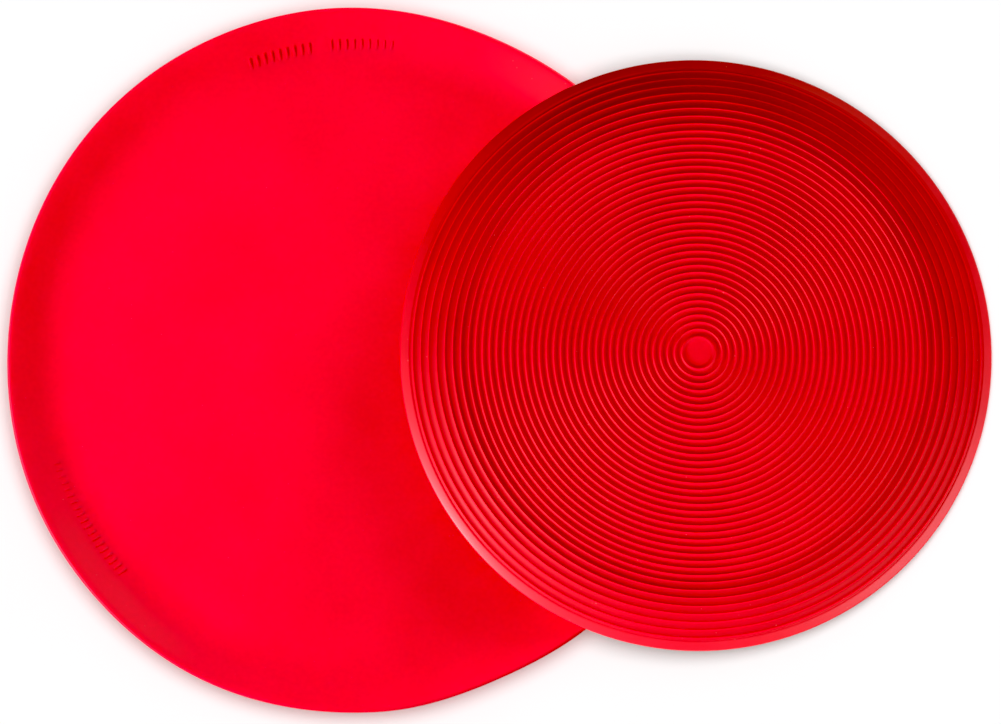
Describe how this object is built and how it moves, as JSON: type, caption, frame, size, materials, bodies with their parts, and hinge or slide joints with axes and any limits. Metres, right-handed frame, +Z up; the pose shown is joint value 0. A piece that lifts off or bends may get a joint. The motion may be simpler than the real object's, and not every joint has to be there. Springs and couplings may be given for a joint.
{
  "type": "silicone mat set",
  "caption": "A large dished round silicone mat, smooth inside and ringed underneath, with a smaller one lying ring side up across its raised edge.",
  "frame": {"origin": "on the table, under the middle of the set's outline", "axes": "+Z up; +X along the set's length, from the large mat towards the small mat; +Y across it"},
  "size_m": [0.4254, 0.305, 0.0277],
  "materials": {
    "large_mat_silicone": "smooth satin silicone",
    "small_mat_silicone": "satin silicone with moulded rings"
  },
  "bodies": {
    "large": {"large_mat": "large_mat_silicone"},
    "small": {"small_mat": "small_mat_silicone"}
  },
  "joints": [
    {"name": "small_mat_lift", "type": "slide", "parent": "large", "child": "small", "axis": [0, 0, 1], "range_m": [0, 0.25]}
  ]
}
